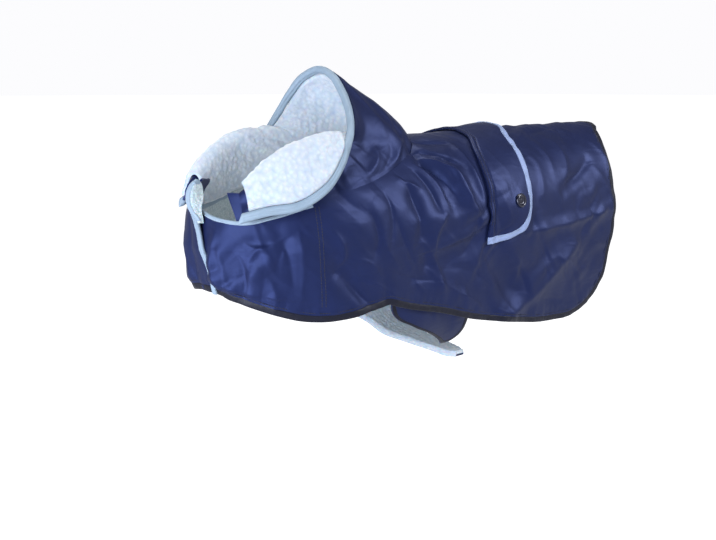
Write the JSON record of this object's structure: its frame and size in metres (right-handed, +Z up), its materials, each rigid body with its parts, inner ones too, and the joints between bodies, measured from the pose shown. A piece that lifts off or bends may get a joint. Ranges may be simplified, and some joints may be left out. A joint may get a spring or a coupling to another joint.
{
  "type": "hooded dog coat",
  "caption": "Hooded coat for a dog, worn open and hollow, with a flap across the back, snaps, bound edges and a belly strap.",
  "frame": {"origin": "inner face of the cloth over the wearer's withers, where its back holds the coat up", "axes": "+Z up, the wearer faces -X, its left side is -Y; +X runs along the back to the rear hem"},
  "size_m": [0.601, 0.1987, 0.3275],
  "materials": {
    "navy_shell": "slick woven polyester with a soft sheen",
    "dark_tape": "matte folded binding tape",
    "grey_tape": "satin folded binding tape",
    "blue_grey_tape": "satin folded binding tape",
    "sherpa": "curly sherpa pile",
    "dark_metal": "dark lacquer, semi-gloss"
  },
  "bodies": {
    "root": {"back_panel": "navy_shell", "front_left": "navy_shell", "front_right": "navy_shell", "hem_binding": "dark_tape", "neck_binding": "grey_tape", "front_binding": "grey_tape", "back_flap": "navy_shell", "flap_binding": "blue_grey_tape", "snap_left": "dark_metal", "snap_right": "dark_metal", "hood_left": "navy_shell", "hood_right": "navy_shell", "hood_lining": "sherpa", "hood_binding": "grey_tape", "neck_tab_left": "navy_shell", "neck_tab_right": "navy_shell", "belly_tab": "navy_shell", "belly_strap": "navy_shell", "belly_strap_lining": "sherpa"}
  },
  "joints": []
}
